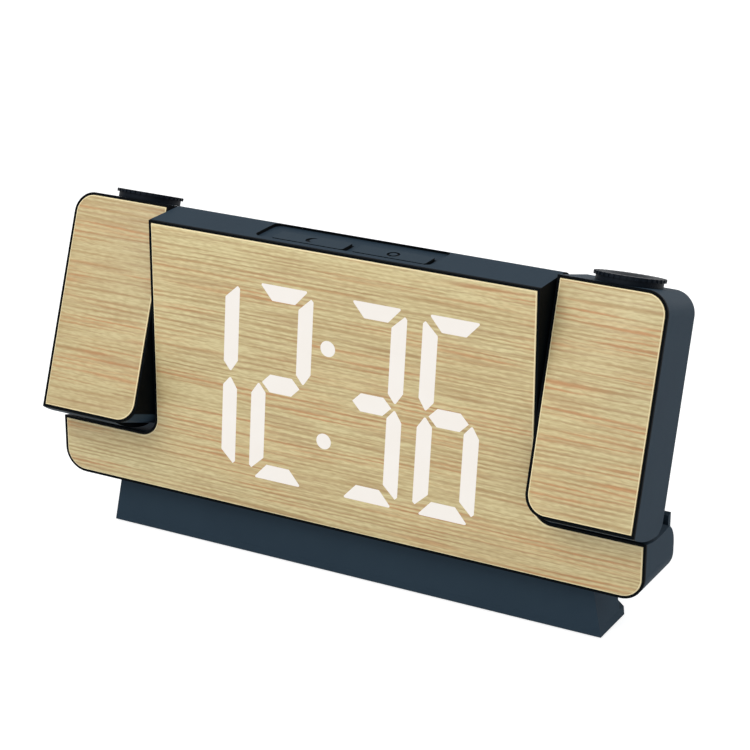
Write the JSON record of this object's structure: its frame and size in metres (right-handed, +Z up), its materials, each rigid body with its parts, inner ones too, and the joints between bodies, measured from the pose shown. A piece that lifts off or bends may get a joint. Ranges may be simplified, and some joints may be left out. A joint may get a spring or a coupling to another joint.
{
  "type": "projection alarm clock",
  "caption": "Wood-faced LED alarm clock on a low plinth, with a tilting projector arm and focus ring at each end.",
  "frame": {"origin": "centre of the rubber mat's underside, on the surface that the clock stands on", "axes": "+X to the right along the display as seen from the front, +Y to the back, +Z up"},
  "size_m": [0.2, 0.0521, 0.1098],
  "materials": {
    "shell": "satin moulded, dark blue-grey",
    "button": "satin moulded, dark blue-grey",
    "key": "satin moulded, black",
    "trim": "satin moulded, black",
    "inner_plastic": "moulded, black",
    "white_plastic": "moulded, white",
    "wood": "bamboo veneer, clear matt lacquer",
    "lit": "white light guide, lit from behind",
    "board": "green solder mask",
    "led": "lamp chips",
    "chip": "black moulded parts",
    "steel": "plain",
    "brass": "plain",
    "glass": "clear lens",
    "slide": "image slide",
    "rubber": "matt black"
  },
  "bodies": {
    "clock_body": {"front_shell": "shell", "rear_cover": "shell", "face_panel": "wood", "digit_lenses": "lit", "light_reflector": "white_plastic", "display_board": "board", "display_leds": "led", "main_board": "board", "board_chips": "chip", "tact_switches": "steel", "button_board": "board", "buzzer": "chip", "cell_holder": "chip", "coin_cell": "steel", "battery_door": "shell", "power_socket": "steel", "temperature_sensor": "chip", "base_plinth": "shell", "base_plate": "shell", "foot_mat": "rubber", "base_screws": "steel", "shell_screws": "steel", "short_screws": "steel", "left_friction_washer": "brass", "right_friction_washer": "brass"},
    "left_arm": {"left_arm_shell": "shell", "left_arm_cover": "shell", "left_arm_panel": "wood", "left_pivot_shaft": "inner_plastic", "left_retaining_clip": "steel", "left_lens_tube": "inner_plastic", "left_lamp_housing": "inner_plastic", "left_image_slide": "slide", "left_condenser_lens": "glass", "left_lamp_board": "board", "left_arm_screws": "steel"},
    "left_focus_ring": {"left_focus_ring": "trim"},
    "left_lens_barrel": {"left_lens_barrel": "inner_plastic", "left_projection_lens": "glass"},
    "right_arm": {"right_arm_shell": "shell", "right_arm_cover": "shell", "right_arm_panel": "wood", "right_pivot_shaft": "inner_plastic", "right_retaining_clip": "steel", "right_lens_tube": "inner_plastic", "right_lamp_housing": "inner_plastic", "right_image_slide": "slide", "right_condenser_lens": "glass", "right_lamp_board": "board", "right_arm_screws": "steel"},
    "right_focus_ring": {"right_focus_ring": "trim"},
    "right_lens_barrel": {"right_lens_barrel": "inner_plastic", "right_projection_lens": "glass"},
    "snooze_button": {"snooze_button": "button"},
    "projection_button": {"projection_button": "button"},
    "set_key": {"set_key": "key"},
    "up_key": {"up_key": "key"},
    "down_key": {"down_key": "key"},
    "alarm_key": {"alarm_key": "key"},
    "dimmer_key": {"dimmer_key": "key"}
  },
  "joints": [
    {"name": "left_arm_tilt", "type": "hinge", "parent": "clock_body", "child": "left_arm", "pos_m": [-0.0658, -0.01225, 0.07125], "axis": [-1, 0, 0], "range_deg": [-20, 115]},
    {"name": "left_focus_turn", "type": "hinge", "parent": "left_arm", "child": "left_focus_ring", "pos_m": [-0.0802, -0.00047, 0.10362], "axis": [0, 0.342, 0.9397], "range_deg": [-60, 60]},
    {"name": "left_lens_slide", "type": "slide", "parent": "left_arm", "child": "left_lens_barrel", "axis": [0, 0.342, 0.9397], "range_m": [-0.0014, 0.0014]},
    {"name": "right_arm_tilt", "type": "hinge", "parent": "clock_body", "child": "right_arm", "pos_m": [0.0658, -0.01225, 0.07125], "axis": [-1, 0, 0], "range_deg": [-16.5, 118.5]},
    {"name": "right_focus_turn", "type": "hinge", "parent": "right_arm", "child": "right_focus_ring", "pos_m": [0.0832, -0.00247, 0.10428], "axis": [0, 0.284, 0.9588], "range_deg": [-60, 60]},
    {"name": "right_lens_slide", "type": "slide", "parent": "right_arm", "child": "right_lens_barrel", "axis": [0, 0.284, 0.9588], "range_m": [-0.0014, 0.0014]},
    {"name": "snooze_press", "type": "slide", "parent": "clock_body", "child": "snooze_button", "axis": [0, 0, -1], "range_m": [0, 0.0005], "stiffness_N_per_m": 600, "springref_m": -0.0005},
    {"name": "projection_press", "type": "slide", "parent": "clock_body", "child": "projection_button", "axis": [0, 0, -1], "range_m": [0, 0.0005], "stiffness_N_per_m": 600, "springref_m": -0.0005},
    {"name": "set_press", "type": "slide", "parent": "clock_body", "child": "set_key", "axis": [0, -1, 0], "range_m": [0, 0.0005], "stiffness_N_per_m": 400, "springref_m": -0.0003},
    {"name": "up_press", "type": "slide", "parent": "clock_body", "child": "up_key", "axis": [0, -1, 0], "range_m": [0, 0.0005], "stiffness_N_per_m": 400, "springref_m": -0.0003},
    {"name": "down_press", "type": "slide", "parent": "clock_body", "child": "down_key", "axis": [0, -1, 0], "range_m": [0, 0.0005], "stiffness_N_per_m": 400, "springref_m": -0.0003},
    {"name": "alarm_press", "type": "slide", "parent": "clock_body", "child": "alarm_key", "axis": [0, -1, 0], "range_m": [0, 0.0005], "stiffness_N_per_m": 400, "springref_m": -0.0003},
    {"name": "dimmer_press", "type": "slide", "parent": "clock_body", "child": "dimmer_key", "axis": [0, -1, 0], "range_m": [0, 0.0005], "stiffness_N_per_m": 400, "springref_m": -0.0003}
  ],
  "couplings": [
    {"joint": "left_focus_turn", "follows": "left_lens_slide", "rad_per_m": 748},
    {"joint": "right_focus_turn", "follows": "right_lens_slide", "rad_per_m": 748}
  ]
}
